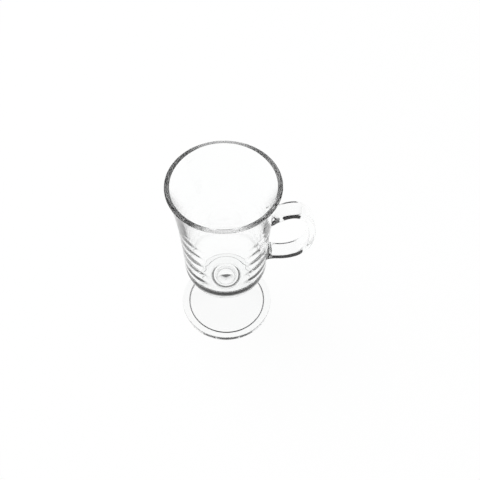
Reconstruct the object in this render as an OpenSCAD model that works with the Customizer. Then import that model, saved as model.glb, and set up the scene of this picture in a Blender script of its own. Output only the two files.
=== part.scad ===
// Stemmed glass mug for hot drinks: a flared bowl on a short stem and a round foot, with an ear handle.
// The axis of the bowl is Z, the foot stands on z = 0 and the handle reaches out along +X.

/* [Bowl] */
// Height of the rim above the table
height = 148; // [120:1:180]
// Outside diameter at the rim
rim_d = 76.6; // [70:0.2:90]
// Outside diameter at the narrowest place of the wall
waist_d = 60; // [52:1:64]
// Height at which the wall turns into the rounded bottom
shoulder_z = 62.5; // [58:0.5:70]
// Radius of the rounded bottom, seen from the side
bottom_r = 24; // [20:0.5:26]
// Gain in radius of the slow taper from the shoulder to the rim
taper = 4.6; // [3:0.1:6]
// Thickness of the lip
lip_t = 3.4; // [2.4:0.1:5]
// Height of the lip's rounding, which is flatter than a half circle
lip_h = 0.75; // [0.4:0.05:1.6]
// Thickness of the wall half way up
wall_t = 4; // [2.6:0.1:5]
// Thickness of the wall at the shoulder
shoulder_t = 5.3; // [3.6:0.1:6]
// Thickness of the glass under the inside of the bottom
floor_t = 10; // [7:0.5:14]

/* [Stem] */
// Diameter of the stem
stem_d = 14.5; // [12:0.5:18]
// Diameter of the weld between the stem and the bowl
stem_top_d = 31; // [26:0.5:34]

/* [Foot] */
// Diameter of the foot
foot_d = 70; // [60:1:80]
// Thickness of the foot at its rounded edge
foot_edge_t = 5; // [4:0.5:7]
// Slope of the foot's top towards the stem, in degrees
foot_slope = 18; // [15:1:22]
// Diameter at which the sloping top turns up into the stem
collar_d = 30; // [29:0.5:34]
// Inside diameter of the ring that the foot stands on
ring_in_d = 58; // [50:1:60]
// Outside diameter of the ring that the foot stands on
ring_out_d = 66; // [64:0.5:68]
// Height of the step at the inside of the ring
step_h = 2.5; // [1.5:0.1:3.5]
// Width of the step at the inside of the ring
step_w = 1.5; // [0.8:0.1:2.5]
// Depth of the rounded cone that is hollowed out under the foot
hollow_depth = 15; // [10:0.5:17]

/* [Handle] */
// Height at which the middle of the upper arm meets the wall
upper_z = 112; // [106:1:118]
// Rise of the upper arm as it leaves the wall, in degrees
upper_rise = 40; // [20:1:45]
// Pull of the upper arm on the curve of the handle
upper_pull = 28; // [20:1:32]
// Distance of the handle's grip from the axis, at its middle line
grip_reach = 60.5; // [56:0.5:66]
// Height of the outermost place of the grip
grip_z = 95; // [90:1:100]
// Pull of the grip on the curve, upwards
grip_pull_up = 14; // [10:1:18]
// Pull of the grip on the curve, downwards
grip_pull_down = 13; // [10:1:18]
// Height at which the middle of the lower arm meets the wall
lower_z = 71.5; // [68:0.5:76]
// Drop of the lower arm as it leaves the wall, in degrees
lower_drop = 14; // [0:1:20]
// Pull of the lower arm on the curve of the handle
lower_pull = 24; // [18:1:28]
// Width of the upper arm
upper_w = 12.3; // [10:0.1:14]
// Width of the lower arm
lower_w = 11.3; // [9:0.1:14]
// Thickness of the handle, seen from the side
handle_t = 5.5; // [4.5:0.1:8]
// Length over which the arms widen towards the wall
flare_length = 10; // [7:0.5:12]
// Widening of the upper arm at the wall
upper_flare_w = 3; // [0:0.5:5]
// Thickening of the upper arm at the wall
upper_flare_t = 4; // [0:0.5:5]
// Widening of the lower arm at the wall
lower_flare_w = 4; // [0:0.5:5]
// Thickening of the lower arm at the wall
lower_flare_t = 5; // [0:0.5:6]

/* [Hidden] */
$fn = 96;
glass_tint = [0.93, 0.96, 0.96, 0.45];

// Counts of points along the curves
wall_steps = 40;
bottom_steps = 18;
lip_steps = 12;
fillet_steps = 14;
edge_steps = 16;
step_steps = 6;
hollow_steps = 12;
grip_rings = 24;
grip_sides = 32;
cap_rings = 3;

// How sharply the taper and the flare of the wall, and the roots of the handle, set in
taper_power = 1.3;
flare_power = 5;
root_power = 3;

// How square the inside of the bottom is, across and downwards (2 and 2 is an ellipse)
floor_power = 5;
drop_power = 1.15;

// How square the handle's section is: an ellipse at the roots and a strap with rounded corners between them
root_section_power = 2;
strap_section_power = 5;

// How square the foot's rounded edge is (2 is an ellipse)
edge_power = 4;

// How rounded the tip of the hollow is (1 is a sharp cone)
tip_power = 1.1;

rim_r = rim_d / 2;
waist_r = waist_d / 2;
lip_r = lip_t / 2;
lip_z = height - lip_h;
flare = rim_r - waist_r - taper;

// Middle of the lip's round, and the centre of the rounded bottom
lip_x = rim_r - lip_r;
bottom_x = waist_r - bottom_r;

// The inside of the bottom falls from the shoulder to a nearly flat floor
inner_shoulder_r = waist_r - shoulder_t;
inner_floor_z = shoulder_z - bottom_r + floor_t;
inner_drop = shoulder_z - inner_floor_z;

// The weld plane of the bowl, where the rounded bottom has the radius of the stem's top, and the rounding
// below it, which runs on smoothly from the bottom
weld_r = stem_top_d / 2;
weld_angle = acos((weld_r - bottom_x) / bottom_r);
weld_z = shoulder_z - bottom_r * sin(weld_angle);
stem_r = stem_d / 2;
fillet_r = (weld_r - stem_r) / (1 - cos(weld_angle));

foot_r = foot_d / 2;
ring_in_r = ring_in_d / 2;
ring_out_r = ring_out_d / 2;
hollow_r = ring_in_r - step_w;

// The rounded edge of the foot runs on into the sloping top, and the top into the collar round the stem
edge_r = foot_edge_t / 2;
edge_w = foot_r - ring_out_r;
edge_angle = atan2(1, pow(edge_w * tan(foot_slope) / edge_r, 1 / (edge_power - 1)));
edge_end = edge_point(edge_angle);
collar_r = collar_d / 2;
collar_start_z = edge_end[1] + (edge_end[0] - collar_r) * tan(foot_slope);
collar_fillet_r = (collar_r - stem_r) / (1 - sin(foot_slope));
collar_z = collar_start_z + collar_fillet_r * cos(foot_slope);

// How far a squared-off round reaches at angle a, where a circle reaches 1
function squared_reach(a, power) = pow(pow(abs(cos(a)), power) + pow(abs(sin(a)), power), -1 / power);

// Point of the foot's rounded edge at angle a, from -90 on the ring that it stands on
function edge_point(a) =
    let (reach = squared_reach(a, edge_power))
    [ring_out_r + edge_w * reach * cos(a), edge_r + edge_r * reach * sin(a)];

// Share of the wall's height that is reached at z, from the shoulder to the lip
function wall_share(z) = max(0, (z - shoulder_z) / (lip_z - shoulder_z));

// Outside radius of the wall at height z, above the shoulder
function wall_r(z) =
    let (s = wall_share(z))
    waist_r + taper * pow(s, taper_power) + flare * pow(s, flare_power);

// Thickness of the wall at height z: thick at the shoulder, thin half way, and the lip's at the top
function wall_thickness(z) =
    let (s = wall_share(z))
    shoulder_t * (1 - s) * (1 - 2 * s) + 4 * wall_t * s * (1 - s) + lip_t * s * (2 * s - 1);

// Points of an ellipse's arc about [x, z], from one angle to another
function arc(x, z, rx, rz, from, to, steps) = [
    for (i = [0 : steps])
        let (a = from + (to - from) * i / steps)
        [x + rx * cos(a), z + rz * sin(a)]
];

// Point of the inside of the bottom at angle a, from 0 at the shoulder to 90 on the axis
function floor_point(a) = [
    inner_shoulder_r * pow(cos(a), 2 / floor_power),
    shoulder_z - inner_drop * pow(sin(a), 2 / drop_power)
];

// Point of the hollow under the foot at share s of its radius
function hollow_point(s) = [hollow_r * s, step_h + (hollow_depth - step_h) * (1 - pow(s, tip_power))];

// Height number i of the wall's points, which crowd towards the flared lip
function wall_z(i) = shoulder_z + (lip_z - shoulder_z) * sin(90 * i / wall_steps);

// Outline of the bowl, from the weld up the outside, over the lip and down the inside
bowl_outline = concat(
    [[0, weld_z]],
    arc(bottom_x, shoulder_z, bottom_r, bottom_r, -weld_angle, 0, bottom_steps),
    [for (i = [1 : wall_steps - 1]) [wall_r(wall_z(i)), wall_z(i)]],
    arc(lip_x, lip_z, lip_r, lip_h, 0, 180, lip_steps),
    [
        for (i = [wall_steps - 1 : -1 : 1])
            [wall_r(wall_z(i)) - wall_thickness(wall_z(i)), wall_z(i)]
    ],
    [for (i = [0 : bottom_steps]) floor_point(90 * i / bottom_steps)]
);

// Outline of the stem: straight from the foot's collar, then widening towards the bowl
stem_outline = concat(
    [[0, collar_z], [stem_r, collar_z]],
    arc(
        stem_r + fillet_r, weld_z - fillet_r * sin(weld_angle), fillet_r, fillet_r,
        180, 180 - weld_angle, fillet_steps
    ),
    [[0, weld_z]]
);

// Outline of the foot: hollow below, a flat ring to stand on, a rounded edge, a sloping top and a collar
foot_outline = concat(
    [for (i = [0 : hollow_steps - 1]) hollow_point(i / hollow_steps)],
    arc(hollow_r, 0, step_w, step_h, 90, 0, step_steps),
    [for (i = [0 : edge_steps]) edge_point((edge_angle + 90) * i / edge_steps - 90)],
    arc(
        stem_r + collar_fillet_r, collar_z, collar_fillet_r, collar_fillet_r,
        270 - foot_slope, 180, fillet_steps
    ),
    [[0, collar_z]]
);

// Point at share t of a cubic curve
function curve_point(p, t) =
    pow(1 - t, 3) * p[0] + 3 * pow(1 - t, 2) * t * p[1] + 3 * (1 - t) * t * t * p[2] + pow(t, 3) * p[3];

// Direction at share t of a cubic curve
function curve_direction(p, t) =
    let (d = (1 - t) * (1 - t) * (p[1] - p[0]) + 2 * (1 - t) * t * (p[2] - p[1]) + t * t * (p[3] - p[2]))
    d / norm(d);

// The handle's middle line, as two curves in the XZ plane that join at the grip
upper_root = [wall_r(upper_z), upper_z];
lower_root = [wall_r(lower_z), lower_z];
grip = [grip_reach, grip_z];
upper_curve = [
    upper_root,
    upper_root + upper_pull * [cos(upper_rise), sin(upper_rise)],
    grip + [0, grip_pull_up],
    grip
];
lower_curve = [
    grip,
    grip - [0, grip_pull_down],
    lower_root + lower_pull * [cos(lower_drop), -sin(lower_drop)],
    lower_root
];

// How far a place has come from the wall, from 0 at the root to 1 at the end of the flare
function away_share(x, root_x) = min(1, max(0, (x - root_x) / flare_length));
function eased(s) = s * s * (3 - 2 * s);

// Section number i of the handle: middle, direction of its thickness, half width, half thickness, squareness
function section(i) =
    let (
        upper = i <= grip_rings,
        line = upper ? upper_curve : lower_curve,
        t = upper ? i / grip_rings : i / grip_rings - 1,
        middle = curve_point(line, t),
        heading = curve_direction(line, t),
        away = away_share(middle[0], upper ? upper_root[0] : lower_root[0]),
        upright = [0, upper ? 1 : -1],
        across = [-heading[1], heading[0]],
        leaning = eased(away) * across + (1 - eased(away)) * upright,
        swell = pow(1 - away, root_power),
        along = i / (2 * grip_rings),
        w = upper_w + (lower_w - upper_w) * along + swell * (upper ? upper_flare_w : lower_flare_w),
        thick = handle_t + swell * (upper ? upper_flare_t : lower_flare_t),
        power = root_section_power + (strap_section_power - root_section_power) * eased(away)
    )
    [middle, leaning / norm(leaning), w / 2, thick / 2, power];

// Point number j on the round of a section
function section_point(s, j) =
    let (
        a = 360 * j / grip_sides,
        reach = squared_reach(a, s[4]),
        p = s[0] + s[3] * reach * sin(a) * s[1]
    )
    [p[0], s[2] * reach * cos(a), p[1]];

// A point moved along X onto the outside of the wall
function on_wall(p) = [sqrt(pow(wall_r(p[2]), 2) - pow(p[1], 2)), p[1], p[2]];

// Ring number k of the weld face at a root: the section's outline drawn in towards its middle, on the wall
function weld_ring(s, k) = [
    for (j = [0 : grip_sides - 1])
        let (p = section_point(s, j), m = [s[0][0], 0, s[0][1]])
        on_wall(m + (p - m) * k / cap_rings)
];

last_section = 2 * grip_rings;
upper_cap = section(0);
lower_cap = section(last_section);
handle_loops = concat(
    [for (k = [1 : cap_rings]) weld_ring(upper_cap, k)],
    [for (i = [1 : last_section - 1]) [for (j = [0 : grip_sides - 1]) section_point(section(i), j)]],
    [for (k = [cap_rings : -1 : 1]) weld_ring(lower_cap, k)]
);
loop_count = len(handle_loops);
handle_points = concat(
    [for (ring = handle_loops) for (p = ring) p],
    [on_wall([upper_root[0], 0, upper_z]), on_wall([lower_root[0], 0, lower_z])]
);
upper_pole = loop_count * grip_sides;
lower_pole = upper_pole + 1;

// Number of point j on loop i of the handle
function loop_index(i, j) = i * grip_sides + j % grip_sides;

handle_faces = concat(
    [for (j = [0 : grip_sides - 1]) [upper_pole, loop_index(0, j), loop_index(0, j + 1)]],
    [
        for (i = [0 : loop_count - 2]) for (j = [0 : grip_sides - 1]) for (half = [0, 1])
            half == 0
                ? [loop_index(i, j), loop_index(i + 1, j), loop_index(i, j + 1)]
                : [loop_index(i, j + 1), loop_index(i + 1, j), loop_index(i + 1, j + 1)]
    ],
    [
        for (j = [0 : grip_sides - 1])
            [lower_pole, loop_index(loop_count - 1, j + 1), loop_index(loop_count - 1, j)]
    ]
);

module bowl() {
    color(glass_tint)
        rotate_extrude()
            polygon(bowl_outline);
}

module stem() {
    color(glass_tint)
        rotate_extrude()
            polygon(stem_outline);
}

module foot() {
    color(glass_tint)
        rotate_extrude()
            polygon(foot_outline);
}

module handle() {
    color(glass_tint)
        polyhedron(handle_points, handle_faces);
}

bowl();
stem();
foot();
handle();
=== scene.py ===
"""Clear glass mug for hot drinks: a flared bowl on a short stem and a round foot, with an ear handle.

Everything is in metres. The axis of the bowl is Z, the foot stands on z = 0 and the handle reaches along +X.
"""
import logging
import math
from dataclasses import dataclass
from enum import Enum
from typing import Callable, Iterable

import bmesh
import bpy
from bmesh.types import BMEdge, BMesh, BMVert
from mathutils import Matrix, Vector


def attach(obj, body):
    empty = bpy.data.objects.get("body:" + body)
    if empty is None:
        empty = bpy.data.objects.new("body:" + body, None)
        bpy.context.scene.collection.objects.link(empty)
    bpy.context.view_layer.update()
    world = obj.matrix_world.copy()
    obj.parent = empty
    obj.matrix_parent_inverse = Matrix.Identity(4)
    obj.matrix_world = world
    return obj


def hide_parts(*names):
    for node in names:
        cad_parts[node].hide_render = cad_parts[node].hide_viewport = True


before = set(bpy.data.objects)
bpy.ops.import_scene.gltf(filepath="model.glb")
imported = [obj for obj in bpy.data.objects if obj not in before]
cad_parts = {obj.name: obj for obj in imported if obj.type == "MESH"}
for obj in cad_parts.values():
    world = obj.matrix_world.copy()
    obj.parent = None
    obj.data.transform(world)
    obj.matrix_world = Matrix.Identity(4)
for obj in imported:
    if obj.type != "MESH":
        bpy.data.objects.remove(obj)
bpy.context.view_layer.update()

MM = 0.001
MERGE = 1e-7
BODY = "root"
LOG = logging.getLogger("mug")


class Skin(Enum):
    """The two kinds of face on a piece, by the number of the material slot."""

    OUTER = 0
    FUSED = 1


class Arm(Enum):
    """The two arms of the handle, by the side to which their thickness points at the wall."""

    UPPER = 1
    LOWER = -1


def eased(share: float) -> float:
    """Smooth step of a share that is held between 0 and 1."""
    held = min(1.0, max(0.0, share))
    return held * held * (3 - 2 * held)


def squared_reach(x: float, y: float, power: float) -> float:
    """How far a squared-off round reaches in a direction, where a circle reaches 1.

    Args:
        x: First part of the direction, which has the length 1.
        y: Second part of the direction.
        power: 2 for a circle, and more for a squarer round.

    Returns:
        The factor by which the circle is drawn out.
    """
    return (abs(x) ** power + abs(y) ** power) ** (-1 / power)


@dataclass(frozen=True)
class GlassFinish:
    """Fire-polished clear glass: a trace of tint that varies, and the faint ripple of a pressed surface."""

    name: str = "clear_glass"
    ior: float = 1.5
    gleam: tuple[float, float, float, float] = (0.2, 0.2, 0.2, 1.0)
    pale: tuple[float, float, float, float] = (1.0, 1.0, 1.0, 1.0)
    tinted: tuple[float, float, float, float] = (0.985, 0.993, 0.990, 1.0)
    tint_scale: float = 30.0
    ripple_scale: float = 95.0
    ripple_strength: float = 0.02
    ripple_height: float = 0.05 * MM
    detail: float = 1.0

    def material(self) -> bpy.types.Material:
        """Builds the node tree of the glass.

        Returns:
            The new material.
        """
        mat = bpy.data.materials.new(self.name)
        mat.use_nodes = True
        tree = mat.node_tree
        shader = tree.nodes["Principled BSDF"]
        shader.inputs["Roughness"].default_value = 0.0
        shader.inputs["IOR"].default_value = self.ior
        shader.inputs["Specular Tint"].default_value = self.gleam
        shader.inputs["Transmission Weight"].default_value = 1.0
        place = tree.nodes.new("ShaderNodeTexCoord")
        clouds = tree.nodes.new("ShaderNodeTexNoise")
        clouds.inputs["Scale"].default_value = self.tint_scale
        clouds.inputs["Detail"].default_value = self.detail
        tint = tree.nodes.new("ShaderNodeMix")
        tint.data_type = "RGBA"
        tint.inputs["A"].default_value = self.pale
        tint.inputs["B"].default_value = self.tinted
        ripple = tree.nodes.new("ShaderNodeTexNoise")
        ripple.inputs["Scale"].default_value = self.ripple_scale
        ripple.inputs["Detail"].default_value = self.detail
        bump = tree.nodes.new("ShaderNodeBump")
        bump.inputs["Strength"].default_value = self.ripple_strength
        bump.inputs["Distance"].default_value = self.ripple_height
        link = tree.links.new
        link(place.outputs["Object"], clouds.inputs["Vector"])
        link(clouds.outputs["Fac"], tint.inputs["Factor"])
        link(tint.outputs["Result"], shader.inputs["Base Color"])
        link(place.outputs["Object"], ripple.inputs["Vector"])
        link(ripple.outputs["Fac"], bump.inputs["Height"])
        link(bump.outputs["Normal"], shader.inputs["Normal"])
        return mat


@dataclass(frozen=True)
class FusedFinish:
    """The faces where two pieces of glass have run together: light goes straight through."""

    name: str = "fused_joint"

    def material(self) -> bpy.types.Material:
        """Builds a material that is wholly open.

        Returns:
            The new material.
        """
        mat = bpy.data.materials.new(self.name)
        mat.use_nodes = True
        mat.node_tree.nodes["Principled BSDF"].inputs["Alpha"].default_value = 0.0
        return mat


@dataclass(frozen=True)
class GlassKit:
    """The finishes of the mug, made once and shared by its pieces."""

    outer: bpy.types.Material
    fused: bpy.types.Material

    def dress(self, piece: bpy.types.Object) -> None:
        """Gives a piece its two materials, in the slots that Skin names."""
        finishes = {Skin.OUTER: self.outer, Skin.FUSED: self.fused}
        for skin in Skin:
            piece.data.materials.append(finishes[skin])


@dataclass(frozen=True)
class WallShape:
    """The law of the bowl's wall: its outside radius, its thickness and the faint rings inside."""

    height: float = 148 * MM
    rim_r: float = 38.3 * MM
    waist_r: float = 30 * MM
    shoulder_z: float = 62.5 * MM
    taper: float = 4.6 * MM
    lip_t: float = 3.4 * MM
    lip_h: float = 0.75 * MM
    wall_t: float = 4 * MM
    shoulder_t: float = 5.3 * MM
    taper_power: float = 1.3
    flare_power: float = 5.0
    ring_depth: float = 0.09 * MM
    ring_pitch: float = 11 * MM
    ring_z: float = 72.5 * MM
    ring_top: float = 125 * MM
    ring_fade: float = 30 * MM
    ring_base: float = 54 * MM
    ring_rise: float = 4 * MM
    ring_side_share: float = 0.35
    ring_full_share: float = 0.65

    @property
    def lip_r(self) -> float:
        """Half the thickness of the lip."""
        return self.lip_t / 2

    @property
    def lip_z(self) -> float:
        """Height at which the lip's flat rounding sets in."""
        return self.height - self.lip_h

    def share(self, z: float) -> float:
        """Share of the wall's height that is reached at z, from the shoulder to the lip."""
        return max(0.0, (z - self.shoulder_z) / (self.lip_z - self.shoulder_z))

    def radius(self, z: float) -> float:
        """Outside radius of the wall, which tapers slowly and flares towards the lip.

        Args:
            z: Height.

        Returns:
            The radius.
        """
        s = self.share(z)
        flare = self.rim_r - self.waist_r - self.taper
        return self.waist_r + self.taper * s**self.taper_power + flare * s**self.flare_power

    def thickness(self, z: float) -> float:
        """Thickness of the wall before the rings, which changes smoothly from the shoulder to the lip.

        Args:
            z: Height.

        Returns:
            The thickness.
        """
        s = self.share(z)
        ends = self.shoulder_t * (1 - s) * (1 - 2 * s) + self.lip_t * s * (2 * s - 1)
        return ends + 4 * self.wall_t * s * (1 - s)

    def rings(self, z: float, side_share: float) -> float:
        """How far the inside stands back because of the faint rings, which are pressed in towards the sides.

        Args:
            z: Height.
            side_share: Share of the radius that lies along X, 1 at the sides and 0 in front and at the back.

        Returns:
            The depth, which is negative on a crest.
        """
        wave = math.cos(math.tau * (z - self.ring_z) / self.ring_pitch)
        above = eased((self.ring_top - z) / self.ring_fade)
        below = eased((z - self.ring_base) / self.ring_rise)
        beside = eased((side_share - self.ring_side_share) / (self.ring_full_share - self.ring_side_share))
        return self.ring_depth * wave * above * below * beside

    def on_wall(self, vert: BMVert) -> None:
        """Moves a vertex along X onto the outside of the wall."""
        vert.co.x = math.sqrt(self.radius(vert.co.z) ** 2 - vert.co.y**2)


class OutlinePen:
    """Draws an outline in the XZ plane, vertex by vertex, and turns it round the upright axis."""

    def __init__(self, x: float, z: float) -> None:
        """Starts the outline.

        Args:
            x: Distance from the axis.
            z: Height.
        """
        self.mesh: BMesh = bmesh.new()
        self.tip: BMVert = bmesh.ops.create_vert(self.mesh, co=(x, 0, z))["vert"][0]

    def to(self, x: float, z: float) -> None:
        """Draws one straight edge to a point."""
        self.tip = bmesh.ops.extrude_vert_indiv(self.mesh, verts=[self.tip])["verts"][0]
        bmesh.ops.translate(self.mesh, verts=[self.tip], vec=Vector((x, 0, z)) - self.tip.co)

    def line(self, x: float, z: float, steps: int) -> None:
        """Draws a straight stretch in even steps.

        Args:
            x: Distance of its end from the axis.
            z: Height of its end.
            steps: Number of edges.
        """
        start = self.tip.co.copy()
        for i in range(1, steps + 1):
            point = start.lerp(Vector((x, 0, z)), i / steps)
            self.to(point.x, point.z)

    def curve(self, place: Callable[[float], tuple[float, float]], steps: int) -> None:
        """Follows a formula from share 0, where the pen stands, to share 1.

        Args:
            place: Gives the distance from the axis and the height at a share.
            steps: Number of edges.
        """
        for i in range(1, steps + 1):
            self.to(*place(i / steps))

    def arc(self, x: float, z: float, angle: float, steps: int) -> None:
        """Swings the pen on a circle.

        Args:
            x: Distance of the circle's centre from the axis.
            z: Height of the circle's centre.
            angle: Angle in degrees, counted from X towards Z.
            steps: Number of edges.
        """
        turn = math.radians(angle)
        swung = bmesh.ops.spin(
            self.mesh, geom=[self.tip], cent=(x, 0, z), axis=(0, -1, 0), angle=turn, steps=steps
        )
        self.tip = next(g for g in swung["geom_last"] if isinstance(g, BMVert))

    def turned(self, steps: int) -> BMesh:
        """Turns the outline into a closed shell.

        Args:
            steps: Number of steps in the full turn.

        Returns:
            The mesh, with its poles merged and its faces outwards.
        """
        mesh = self.mesh
        outline = mesh.verts[:] + mesh.edges[:]
        bmesh.ops.spin(
            mesh, geom=outline, cent=(0, 0, 0), axis=(0, 0, 1), angle=math.tau, steps=steps, use_merge=True
        )
        bmesh.ops.remove_doubles(mesh, verts=mesh.verts, dist=MERGE)
        bmesh.ops.recalc_face_normals(mesh, faces=mesh.faces)
        return mesh


def fuse_flat(mesh: BMesh, z: float) -> None:
    """Marks the flat faces of a weld plane as fused.

    Args:
        mesh: Mesh of the piece.
        z: Height of the weld plane.
    """
    for face in mesh.faces:
        if all(abs(v.co.z - z) < MERGE for v in face.verts):
            face.material_index = Skin.FUSED.value


def make_piece(mesh: BMesh, node: str, kit: GlassKit) -> bpy.types.Object:
    """Makes the object of a piece that stands for a CAD node, and dresses it.

    Args:
        mesh: Finished mesh, which is freed.
        node: Name of the CAD node.
        kit: Finishes of the mug.

    Returns:
        The new object.
    """
    for face in mesh.faces:
        face.smooth = True
    for edge in mesh.edges:
        edge.smooth = len({f.material_index for f in edge.link_faces}) < 2
    name = "glass_" + node
    data = bpy.data.meshes.new(name)
    mesh.to_mesh(data)
    mesh.free()
    piece = bpy.data.objects.new(name, data)
    bpy.context.scene.collection.objects.link(piece)
    kit.dress(piece)
    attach(piece, BODY)
    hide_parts(node)
    LOG.info("%s: %d faces for %s", name, len(data.polygons), node)
    return piece


@dataclass
class Weld:
    """Place where an arm of the handle meets the wall: an ellipse, seen along X."""

    z: float
    half_width: float
    half_height: float

    def depth(self, point: Vector) -> float:
        """Below 1 inside the ellipse, 1 on it and above 1 outside."""
        return math.hypot(point.y / self.half_width, (point.z - self.z) / self.half_height)

    def crossing(self, edge: BMEdge) -> float:
        """Finds where an edge crosses the ellipse.

        Args:
            edge: Edge with one end inside the ellipse and one outside.

        Returns:
            The share of the edge, from its first vertex.
        """
        a, b = (Vector((v.co.y / self.half_width, (v.co.z - self.z) / self.half_height)) for v in edge.verts)
        run = b - a
        half = a.dot(run) / run.dot(run)
        rest = (a.dot(a) - 1) / run.dot(run)
        root = math.sqrt(max(0.0, half * half - rest))
        return next(t for t in (-half - root, -half + root) if 0 <= t <= 1)


@dataclass
class Bowl:
    """The flared cup with its flatly rounded lip and its thick rounded bottom."""

    wall: WallShape
    welds: list[Weld]
    bottom_r: float = 24 * MM
    floor_t: float = 10 * MM
    stem_top_r: float = 15.5 * MM
    floor_power: float = 5.0
    drop_power: float = 1.15
    wall_steps: int = 96
    bottom_steps: int = 36
    floor_steps: int = 56
    lip_steps: int = 32
    around: int = 240

    @property
    def weld_angle(self) -> float:
        """Angle in degrees from the shoulder down to the weld, on the round of the bottom."""
        return math.degrees(math.acos((self.stem_top_r - self.wall.waist_r + self.bottom_r) / self.bottom_r))

    @property
    def weld_z(self) -> float:
        """Height of the weld between the bowl and the stem."""
        return self.wall.shoulder_z - self.bottom_r * math.sin(math.radians(self.weld_angle))

    def wall_z(self, share: float) -> float:
        """Height at a share of the wall's steps, which crowd towards the flared lip."""
        low, high = self.wall.shoulder_z, self.wall.lip_z
        return low + (high - low) * math.sin(share * math.pi / 2)

    def outside(self, share: float) -> tuple[float, float]:
        """Point of the outside of the wall, from the shoulder up."""
        z = self.wall_z(share)
        return self.wall.radius(z), z

    def lip(self, share: float) -> tuple[float, float]:
        """Point of the flat rounding of the lip, from the outside to the inside."""
        wall, angle = self.wall, share * math.pi
        return wall.rim_r - wall.lip_r * (1 - math.cos(angle)), wall.lip_z + wall.lip_h * math.sin(angle)

    def inside(self, share: float) -> tuple[float, float]:
        """Point of the inside of the wall, from the lip down."""
        z = self.wall_z(1 - share)
        return self.wall.radius(z) - self.wall.thickness(z), z

    def floor(self, share: float) -> tuple[float, float]:
        """Point of the inside of the bottom.

        Args:
            share: 0 at the shoulder, 1 on the axis.

        Returns:
            The distance from the axis and the height.
        """
        angle = share * math.pi / 2
        drop = self.bottom_r - self.floor_t
        z = self.wall.shoulder_z - drop * math.sin(angle) ** (2 / self.drop_power)
        across = max(0.0, math.cos(angle)) ** (2 / self.floor_power) if share < 1 else 0.0
        return (self.wall.waist_r - self.wall.shoulder_t) * across, z

    def shell(self) -> BMesh:
        """Draws and turns the outline.

        Returns:
            The closed mesh of the bowl.
        """
        wall = self.wall
        pen = OutlinePen(0, self.weld_z)
        pen.to(self.stem_top_r, self.weld_z)
        pen.arc(wall.waist_r - self.bottom_r, wall.shoulder_z, self.weld_angle, self.bottom_steps)
        pen.curve(self.outside, self.wall_steps)
        pen.curve(self.lip, self.lip_steps)
        pen.curve(self.inside, self.wall_steps)
        pen.curve(self.floor, self.floor_steps)
        return pen.turned(self.around)

    def press_rings(self, mesh: BMesh) -> None:
        """Presses the faint rings into the inside of the wall.

        Args:
            mesh: Mesh of the bowl.
        """
        wall = self.wall
        for vert in mesh.verts:
            reach, z = math.hypot(vert.co.x, vert.co.y), vert.co.z
            if z > wall.ring_base and reach < wall.radius(z) - wall.thickness(z) / 2:
                stretch = 1 + wall.rings(z, abs(vert.co.x) / reach) / reach
                vert.co.x *= stretch
                vert.co.y *= stretch

    def on_outside(self, vert: BMVert) -> bool:
        """True for a vertex on the outside of the wall, on the side of the handle."""
        away = math.hypot(vert.co.x, vert.co.y) - self.wall.radius(vert.co.z)
        return vert.co.x > 0 and abs(away) < self.wall.wall_t / 4

    def fuse(self, mesh: BMesh, weld: Weld) -> None:
        """Cuts the outline of a weld into the outside of the wall and marks the faces inside it as fused.

        Args:
            mesh: Mesh of the bowl.
            weld: Place where an arm meets the wall.
        """
        share = {}
        for edge in mesh.edges:
            first, second = edge.verts
            if (weld.depth(first.co) < 1) != (weld.depth(second.co) < 1):
                if self.on_outside(first) and self.on_outside(second):
                    share[edge] = weld.crossing(edge)
        split = bmesh.ops.bisect_edges(mesh, edges=list(share), cuts=1, edge_percents=share)["geom_split"]
        border = [g for g in split if isinstance(g, BMVert)]
        for vert in border:
            self.wall.on_wall(vert)
        bmesh.ops.connect_verts(mesh, verts=border)
        for face in mesh.faces:
            if weld.depth(face.calc_center_median()) < 1 and all(self.on_outside(v) for v in face.verts):
                face.material_index = Skin.FUSED.value

    def build(self, kit: GlassKit) -> bpy.types.Object:
        """Builds and dresses the bowl.

        Args:
            kit: Finishes of the mug.

        Returns:
            The finished piece.
        """
        mesh = self.shell()
        self.press_rings(mesh)
        fuse_flat(mesh, self.weld_z)
        for weld in self.welds:
            self.fuse(mesh, weld)
        return make_piece(mesh, "bowl", kit)


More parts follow.
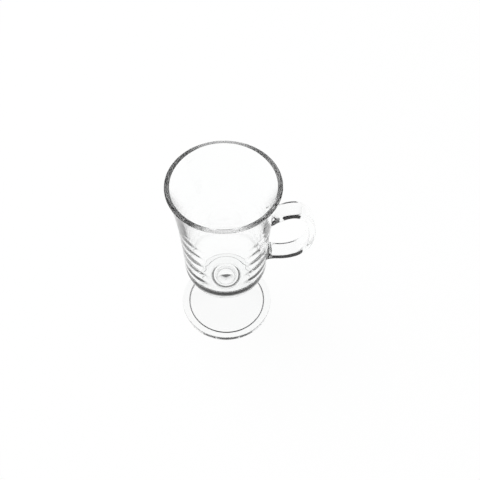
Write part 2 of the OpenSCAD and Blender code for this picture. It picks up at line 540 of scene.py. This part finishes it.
@dataclass
class Foot:
    """The round foot with its standing ring, its hollow and the collar that runs up into the stem."""

    stem_r: float = 7.25 * MM
    foot_r: float = 35 * MM
    edge_t: float = 5 * MM
    slope: float = 18.0
    collar_r: float = 15 * MM
    ring_in_r: float = 29 * MM
    ring_out_r: float = 33 * MM
    step_h: float = 2.5 * MM
    step_w: float = 1.5 * MM
    hollow_depth: float = 15 * MM
    tip_power: float = 1.1
    edge_power: float = 4.0
    hollow_steps: int = 40
    step_steps: int = 12
    ring_steps: int = 4
    edge_steps: int = 28
    top_steps: int = 16
    collar_steps: int = 24
    around: int = 176

    @property
    def edge_angle(self) -> float:
        """Angle at which the rounded edge has turned into the slope of the top."""
        drop = (self.foot_r - self.ring_out_r) * math.tan(math.radians(self.slope))
        return math.atan2(1, (2 * drop / self.edge_t) ** (1 / (self.edge_power - 1)))

    def edge(self, share: float) -> tuple[float, float]:
        """Point of the rounded edge.

        Args:
            share: 0 on the standing ring, 1 at the sloping top.

        Returns:
            The distance from the axis and the height.
        """
        angle = -math.pi / 2 + (self.edge_angle + math.pi / 2) * share
        across, up = math.cos(angle), math.sin(angle)
        reach = squared_reach(across, up, self.edge_power)
        width, half = self.foot_r - self.ring_out_r, self.edge_t / 2
        return self.ring_out_r + width * reach * across, half + half * reach * up

    @property
    def collar_start_z(self) -> float:
        """Height at which the sloping top turns up into the collar."""
        x, z = self.edge(1)
        return z + (x - self.collar_r) * math.tan(math.radians(self.slope))

    @property
    def collar_fillet(self) -> float:
        """Radius of the collar's round."""
        return (self.collar_r - self.stem_r) / (1 - math.sin(math.radians(self.slope)))

    @property
    def weld_z(self) -> float:
        """Height of the weld between the foot and the stem."""
        return self.collar_start_z + self.collar_fillet * math.cos(math.radians(self.slope))

    def hollow(self, share: float) -> tuple[float, float]:
        """Point of the rounded cone under the foot, from its tip out."""
        rise = (self.hollow_depth - self.step_h) * (1 - share**self.tip_power)
        return (self.ring_in_r - self.step_w) * share, self.step_h + rise

    def step(self, share: float) -> tuple[float, float]:
        """Point of the rounded step at the inside of the standing ring."""
        angle = (1 - share) * math.pi / 2
        return self.ring_in_r - self.step_w + self.step_w * math.cos(angle), self.step_h * math.sin(angle)

    def build(self, kit: GlassKit) -> bpy.types.Object:
        """Builds and dresses the foot.

        Args:
            kit: Finishes of the mug.

        Returns:
            The finished piece.
        """
        pen = OutlinePen(0, self.hollow_depth)
        pen.curve(self.hollow, self.hollow_steps)
        pen.curve(self.step, self.step_steps)
        pen.line(self.ring_out_r, 0, self.ring_steps)
        pen.curve(self.edge, self.edge_steps)
        pen.line(self.collar_r, self.collar_start_z, self.top_steps)
        pen.arc(self.stem_r + self.collar_fillet, self.weld_z, self.slope - 90, self.collar_steps)
        pen.to(0, self.weld_z)
        mesh = pen.turned(self.around)
        fuse_flat(mesh, self.weld_z)
        return make_piece(mesh, "foot", kit)


@dataclass
class Stem:
    """The short solid stem, straight from the collar and widening into the bottom of the bowl."""

    bowl: Bowl
    foot: Foot
    shaft_steps: int = 10
    fillet_steps: int = 24
    around: int = 176

    def build(self, kit: GlassKit) -> bpy.types.Object:
        """Builds and dresses the stem.

        Args:
            kit: Finishes of the mug.

        Returns:
            The finished piece.
        """
        radius, top_r = self.foot.stem_r, self.bowl.stem_top_r
        low, high, turn = self.foot.weld_z, self.bowl.weld_z, self.bowl.weld_angle
        fillet = (top_r - radius) / (1 - math.cos(math.radians(turn)))
        bend_z = high - fillet * math.sin(math.radians(turn))
        pen = OutlinePen(0, low)
        pen.to(radius, low)
        pen.line(radius, bend_z, self.shaft_steps)
        pen.arc(radius + fillet, bend_z, -turn, self.fillet_steps)
        pen.to(0, high)
        mesh = pen.turned(self.around)
        fuse_flat(mesh, low)
        fuse_flat(mesh, high)
        return make_piece(mesh, "stem", kit)


@dataclass(frozen=True)
class ArmShape:
    """One arm of the handle, from the wall to the grip."""

    arm: Arm
    z: float
    rise: float
    pull: float
    grip_pull: float
    width: float
    flare_w: float
    flare_t: float


@dataclass(frozen=True)
class Section:
    """One section of the handle: the matrix that carries a unit circle there, and how square it is."""

    place: Matrix
    power: float

    def square(self, ring: list[BMVert]) -> None:
        """Draws the ellipse of a ring out towards its corners.

        Args:
            ring: Vertices on the ellipse of the section.
        """
        back = self.place.inverted()
        for vert in ring:
            local = back @ vert.co
            vert.co = self.place @ (local * squared_reach(local.x, local.y, self.power))


@dataclass
class Handle:
    """The ear-shaped strap of glass, swept along two curves that join at the grip."""

    wall: WallShape
    upper: ArmShape = ArmShape(Arm.UPPER, 112 * MM, 40.0, 28 * MM, 14 * MM, 12.3 * MM, 3 * MM, 4 * MM)
    lower: ArmShape = ArmShape(Arm.LOWER, 71.5 * MM, -14.0, 24 * MM, 13 * MM, 11.3 * MM, 4 * MM, 5 * MM)
    grip_reach: float = 60.5 * MM
    grip_z: float = 95 * MM
    thickness: float = 5.5 * MM
    flare_length: float = 10 * MM
    root_power: float = 3.0
    root_section_power: float = 2.0
    strap_section_power: float = 5.0
    rings: int = 80
    sides: int = 96
    cap_rings: int = 5

    def root(self, shape: ArmShape) -> Vector:
        """Point of the wall, in X and Z, at which the middle of an arm meets it."""
        return Vector((self.wall.radius(shape.z), shape.z))

    def weld(self, shape: ArmShape) -> Weld:
        """Outline of an arm's weld on the wall."""
        return Weld(shape.z, (shape.width + shape.flare_w) / 2, (self.thickness + shape.flare_t) / 2)

    def curve(self, shape: ArmShape) -> list[Vector]:
        """Works out the curve of an arm's middle line.

        Args:
            shape: The arm.

        Returns:
            Its four points in X and Z, from the wall to the grip.
        """
        root = self.root(shape)
        rise = math.radians(shape.rise)
        grip = Vector((self.grip_reach, self.grip_z))
        lean = Vector((math.cos(rise), math.sin(rise)))
        return [root, root + shape.pull * lean, grip + Vector((0, shape.arm.value * shape.grip_pull)), grip]

    def section(self, number: int) -> Section:
        """Works out one section: an ellipse at the wall, and a strap with rounded corners between the roots.

        Args:
            number: 0 at the upper root, up to twice the number of rings at the lower root.

        Returns:
            The section, whose matrix has the half width and the half thickness as its first two columns.
        """
        shape = self.upper if number <= self.rings else self.lower
        share = number / self.rings if shape is self.upper else 2 - number / self.rings
        a, b, c, d = self.curve(shape)
        left = 1 - share
        middle = left**3 * a + 3 * left**2 * share * b + 3 * left * share**2 * c + share**3 * d
        heading = (left**2 * (b - a) + 2 * left * share * (c - b) + share**2 * (d - c)).normalized()
        away = min(1.0, max(0.0, (middle.x - a.x) / self.flare_length))
        across = Vector((-heading.y, heading.x)) * shape.arm.value
        lean = across.lerp(Vector((0, shape.arm.value)), 1 - eased(away)).normalized()
        swell = (1 - away) ** self.root_power
        along = number / (2 * self.rings)
        width = self.upper.width + (self.lower.width - self.upper.width) * along + swell * shape.flare_w
        thick = self.thickness + swell * shape.flare_t
        columns = (
            Vector((0, width / 2, 0)),
            Vector((lean.x, 0, lean.y)) * (thick / 2),
            Vector((0, 1, 0)).cross(Vector((lean.x, 0, lean.y))) * MM,
            Vector((middle.x, 0, middle.y)),
        )
        place = Matrix([[c[row] for c in columns] for row in range(3)] + [[0, 0, 0, 1]])
        squarer = self.strap_section_power - self.root_section_power
        return Section(place, self.root_section_power + squarer * eased(away))

    def drawn_out(self, mesh: BMesh, ring: list[BMEdge]) -> tuple[list[BMVert], list[BMEdge]]:
        """Extrudes a ring of edges.

        Args:
            mesh: Mesh of the handle.
            ring: Edges to extrude.

        Returns:
            The vertices and the edges of the new ring.
        """
        geom = bmesh.ops.extrude_edge_only(mesh, edges=ring)["geom"]
        verts = [g for g in geom if isinstance(g, BMVert)]
        new = set(verts)
        return verts, [g for g in geom if isinstance(g, BMEdge) and new.issuperset(g.verts)]

    def close(self, mesh: BMesh, verts: list[BMVert], ring: list[BMEdge], middle: Vector) -> None:
        """Closes an end of the handle with faces that lie on the wall.

        Args:
            mesh: Mesh of the handle.
            verts: Vertices of the end's ring.
            ring: Edges of the end's ring.
            middle: Middle of the end.
        """
        before = set(mesh.faces)
        moved = list(verts)
        for left in range(self.cap_rings - 1, 0, -1):
            verts, ring = self.drawn_out(mesh, ring)
            shrink = Vector((1, 1, 1)) * (left / (left + 1))
            bmesh.ops.scale(mesh, vec=shrink, space=Matrix.Translation(-middle), verts=verts)
            moved += verts
        verts, ring = self.drawn_out(mesh, ring)
        bmesh.ops.pointmerge(mesh, verts=verts, merge_co=middle)
        centre = min(mesh.verts, key=lambda v: (v.co - middle).length)
        for vert in [v for v in moved if v.is_valid] + [centre]:
            self.wall.on_wall(vert)
        for face in set(mesh.faces) - before:
            face.material_index = Skin.FUSED.value

    def build(self, kit: GlassKit) -> bpy.types.Object:
        """Builds and dresses the handle.

        Args:
            kit: Finishes of the mug.

        Returns:
            The finished piece.
        """
        mesh = bmesh.new()
        here = self.section(0)
        start = bmesh.ops.create_circle(
            mesh, cap_ends=False, radius=1, segments=self.sides, matrix=here.place
        )
        first = start["verts"]
        first_ring = mesh.edges[:]
        verts, ring = first, first_ring
        drawn: list[tuple[Section, list[BMVert]]] = []
        for number in range(1, 2 * self.rings + 1):
            there = self.section(number)
            verts, ring = self.drawn_out(mesh, ring)
            carried = there.place @ here.place.inverted()
            bmesh.ops.transform(mesh, matrix=carried, space=Matrix.Identity(4), verts=verts)
            drawn.append((there, verts))
            here = there
        for section, loop in drawn:
            section.square(loop)
        self.close(mesh, first, first_ring, self.section(0).place.translation)
        self.close(mesh, verts, ring, here.place.translation)
        bmesh.ops.recalc_face_normals(mesh, faces=mesh.faces)
        return make_piece(mesh, "handle", kit)


@dataclass
class Studio:
    """The pale floor, the soft light and the camera."""

    floor_r: float = 3.0
    floor_sides: int = 96
    floor_drop: float = 0.1 * MM
    floor_albedo: float = 0.9
    glow_share: float = 0.975
    sky: float = 0.02
    sky_low: float = 0.09
    sky_high: float = 0.12
    lamp_power: float = 38.0
    lamp_size: float = 1.2
    lamp_place: tuple[float, float, float] = (-0.5, 0.35, 1.6)
    image_px: float = 480.0
    focal_px: float = 758.57
    sensor: float = 36.0
    eye: tuple[float, float, float] = (0.0, -307.45 * MM, 526.58 * MM)
    pan: float = 0.03443
    tilt: float = 0.96208
    nearest: float = 10 * MM
    bounces: int = 64

    def seen(self, tree: bpy.types.NodeTree, rays: Iterable[str]) -> bpy.types.NodeSocket:
        """Adds nodes that are 1 for the named kinds of ray.

        Args:
            tree: Node tree to add to.
            rays: Names of outputs of the Light Path node.

        Returns:
            The socket that holds the result.
        """
        path = tree.nodes.new("ShaderNodeLightPath")
        total = None
        for name in rays:
            if total is None:
                total = path.outputs[name]
                continue
            either = tree.nodes.new("ShaderNodeMath")
            either.operation = "MAXIMUM"
            tree.links.new(total, either.inputs[0])
            tree.links.new(path.outputs[name], either.inputs[1])
            total = either.outputs[0]
        return total

    def lay_floor(self) -> None:
        """Lays the pale floor, which looks white to the camera and through glass and keeps a soft shadow."""
        mesh = bmesh.new()
        place = Matrix.Translation((0, 0, -self.floor_drop))
        bmesh.ops.create_circle(
            mesh, cap_ends=True, radius=self.floor_r, segments=self.floor_sides, matrix=place
        )
        data = bpy.data.meshes.new("studio_floor")
        mesh.to_mesh(data)
        mesh.free()
        floor = bpy.data.objects.new("studio_floor", data)
        bpy.context.scene.collection.objects.link(floor)
        mat = bpy.data.materials.new("studio_floor")
        mat.use_nodes = True
        tree = mat.node_tree
        tree.nodes.clear()
        out = tree.nodes.new("ShaderNodeOutputMaterial")
        matt = tree.nodes.new("ShaderNodeBsdfDiffuse")
        matt.inputs["Color"].default_value = (self.floor_albedo,) * 3 + (1,)
        glow = tree.nodes.new("ShaderNodeEmission")
        glow.inputs["Color"].default_value = (1, 1, 1, 1)
        shown = tree.nodes.new("ShaderNodeMixShader")
        shown.inputs["Fac"].default_value = self.glow_share
        pick = tree.nodes.new("ShaderNodeMixShader")
        link = tree.links.new
        link(matt.outputs["BSDF"], shown.inputs[1])
        link(glow.outputs["Emission"], shown.inputs[2])
        link(self.seen(tree, ("Is Camera Ray", "Is Glossy Ray", "Is Transmission Ray")), pick.inputs["Fac"])
        link(matt.outputs["BSDF"], pick.inputs[1])
        link(shown.outputs["Shader"], pick.inputs[2])
        link(pick.outputs["Shader"], out.inputs["Surface"])
        data.materials.append(mat)
        LOG.info("studio_floor: %.1f m wide", 2 * self.floor_r)

    def light(self) -> None:
        """Sets the world, white to the camera and dark above for the glass, and one soft lamp."""
        world = bpy.data.worlds.new("studio")
        bpy.context.scene.world = world
        world.use_nodes = True
        tree = world.node_tree
        tree.nodes.clear()
        out = tree.nodes.new("ShaderNodeOutputWorld")
        place = tree.nodes.new("ShaderNodeTexCoord")
        axes = tree.nodes.new("ShaderNodeSeparateXYZ")
        level = tree.nodes.new("ShaderNodeMapRange")
        level.interpolation_type = "SMOOTHSTEP"
        level.inputs["From Min"].default_value = self.sky_low
        level.inputs["From Max"].default_value = self.sky_high
        level.inputs["To Min"].default_value = 1.0
        level.inputs["To Max"].default_value = self.sky
        room = tree.nodes.new("ShaderNodeBackground")
        white = tree.nodes.new("ShaderNodeBackground")
        white.inputs["Color"].default_value = (1, 1, 1, 1)
        pick = tree.nodes.new("ShaderNodeMixShader")
        link = tree.links.new
        link(place.outputs["Generated"], axes.inputs[0])
        link(axes.outputs["Z"], level.inputs["Value"])
        link(level.outputs["Result"], room.inputs["Color"])
        link(self.seen(tree, ("Is Camera Ray",)), pick.inputs["Fac"])
        link(room.outputs["Background"], pick.inputs[1])
        link(white.outputs["Background"], pick.inputs[2])
        link(pick.outputs["Shader"], out.inputs["Surface"])
        lamp = bpy.data.lights.new("soft_lamp", "AREA")
        lamp.shape = "SQUARE"
        lamp.size = self.lamp_size
        lamp.energy = self.lamp_power
        holder = bpy.data.objects.new("soft_lamp", lamp)
        holder.location = self.lamp_place
        holder.rotation_euler = (-Vector(self.lamp_place)).to_track_quat("-Z", "Y").to_euler()
        holder.visible_glossy = False
        holder.visible_transmission = False
        bpy.context.scene.collection.objects.link(holder)

    def place_camera(self) -> None:
        """Sets the camera at the angle from which the mug was photographed."""
        lens = bpy.data.cameras.new("camera")
        lens.sensor_width = self.sensor
        lens.sensor_fit = "HORIZONTAL"
        lens.lens = self.focal_px / self.image_px * self.sensor
        lens.clip_start = self.nearest
        camera = bpy.data.objects.new("camera", lens)
        camera.location = self.eye
        level = math.cos(self.tilt)
        ahead = Vector((math.sin(self.pan) * level, math.cos(self.pan) * level, -math.sin(self.tilt)))
        camera.rotation_euler = ahead.to_track_quat("-Z", "Y").to_euler()
        bpy.context.scene.collection.objects.link(camera)
        bpy.context.scene.camera = camera

    def build(self) -> None:
        """Sets up the whole studio and how far light is followed through the glass."""
        scene = bpy.context.scene
        scene.view_settings.view_transform = "Standard"
        cycles = scene.cycles
        cycles.max_bounces = cycles.transparent_max_bounces = self.bounces
        cycles.transmission_bounces = cycles.glossy_bounces = self.bounces
        self.place_camera()
        self.lay_floor()
        self.light()


def main() -> None:
    """Builds the studio and the pieces of the mug in order."""
    logging.basicConfig(level=logging.INFO, format="%(name)s: %(message)s")
    Studio().build()
    kit = GlassKit(GlassFinish().material(), FusedFinish().material())
    wall = WallShape()
    handle = Handle(wall)
    bowl = Bowl(wall, [handle.weld(handle.upper), handle.weld(handle.lower)])
    foot = Foot()
    for part in (bowl, Stem(bowl, foot), foot, handle):
        part.build(kit)


if __name__ == "__main__":
    main()
